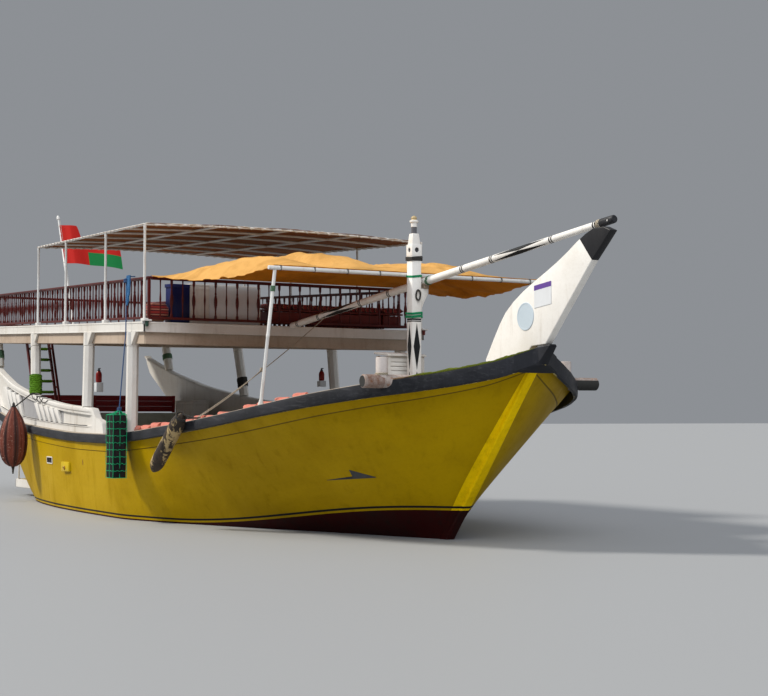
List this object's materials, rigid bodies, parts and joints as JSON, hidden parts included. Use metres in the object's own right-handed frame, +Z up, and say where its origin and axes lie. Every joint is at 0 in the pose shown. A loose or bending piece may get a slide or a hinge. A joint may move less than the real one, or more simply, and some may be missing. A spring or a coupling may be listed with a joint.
{
  "type": "dhow sailing boat",
  "caption": "Wooden passenger dhow afloat, yellow hull with black strake, raked stem head, railed upper deck, canopy, awning, stub mast and lowered yard.",
  "frame": {"origin": "on the waterline, amidships, on the centreline", "axes": "+X towards the bow, +Y to port, +Z up from the water"},
  "size_m": [29.191, 7.8156, 10.6022],
  "materials": {
    "hull_paint": "semi-gloss marine paint",
    "deck": "worn oiled planks",
    "strake": "scuffed black paint",
    "white_paint": "semi-gloss paint",
    "white_pipe": "painted steel pipe",
    "maroon_paint": "dark red varnish",
    "raw_wood": "weathered timber",
    "bronze": "dull cast bronze",
    "engine_paint": "painted cast iron",
    "awning_cloth": "woven tarpaulin",
    "canopy_cloth": "coated cloth, brown below",
    "cushion_salmon": "woven cover",
    "cushion_stripe": "woven striped cover",
    "flag_cloth": "light woven cloth",
    "fender_skin": "scuffed rubber"
  },
  "bodies": {
    "boat": {"hull": "hull_paint", "main_deck": "deck", "foredeck": "deck", "engine": "engine_paint", "stem_head": "white_paint", "rub_rail_starboard": "strake", "rub_rail_port": "strake", "stern_wing_starboard": "white_paint", "stern_wing_port": "white_paint", "bow_beam": "raw_wood", "mast": "white_paint", "upper_deck": "white_paint", "ladder": "maroon_paint", "column_1_starboard": "white_paint", "column_1_port": "white_paint", "column_2_starboard": "white_paint", "column_2_port": "white_paint", "column_3_starboard": "white_paint", "column_3_port": "white_paint", "column_4_starboard": "white_paint", "column_4_port": "white_paint", "railing_front": "maroon_paint", "railing_aft": "maroon_paint", "railing_starboard": "maroon_paint", "railing_port": "maroon_paint", "canopy_post_starboard_1": "white_pipe", "canopy_post_port_1": "white_pipe", "canopy_post_starboard_2": "white_pipe", "canopy_post_port_2": "white_pipe", "canopy_post_starboard_3": "white_pipe", "canopy_post_port_3": "white_pipe", "canopy_post_starboard_4": "white_pipe", "canopy_post_port_4": "white_pipe", "canopy_frame": "white_pipe", "canopy": "canopy_cloth", "awning": "awning_cloth", "awning_pole": "white_pipe", "awning_post_starboard": "white_pipe", "awning_post_port": "white_pipe", "flagpole": "white_pipe", "flag": "flag_cloth", "swim_platform": "hull_paint", "swim_rail": "white_pipe", "bench_starboard": "white_paint", "cushion_starboard": "cushion_salmon", "bench_port": "maroon_paint", "cushion_port": "cushion_salmon", "upper_bench": "maroon_paint", "upper_cushion": "cushion_stripe", "counter": "white_paint", "foredeck_box": "white_paint", "fender_drop": "fender_skin", "fender_block": "fender_skin", "fender_log": "fender_skin", "stern_rail": "maroon_paint", "locker": "white_paint", "corner_cushion": "cushion_stripe"},
    "yard": {"yard": "white_paint"},
    "rudder": {"rudder": "maroon_paint"},
    "propeller": {"propeller": "bronze"}
  },
  "joints": [
    {"name": "yard_slew", "type": "hinge", "parent": "boat", "child": "yard", "pos_m": [7.6, 0, 5.05], "axis": [0, 0, 1], "range_deg": [-20, 20]},
    {"name": "rudder_steer", "type": "hinge", "parent": "boat", "child": "rudder", "pos_m": [-8.65, 0, -1], "axis": [0, 0, 1], "range_deg": [-35, 35]},
    {"name": "propeller_spin", "type": "hinge", "parent": "boat", "child": "propeller", "pos_m": [-8, 0, -0.985], "axis": [1, 0, 0], "continuous": true}
  ]
}
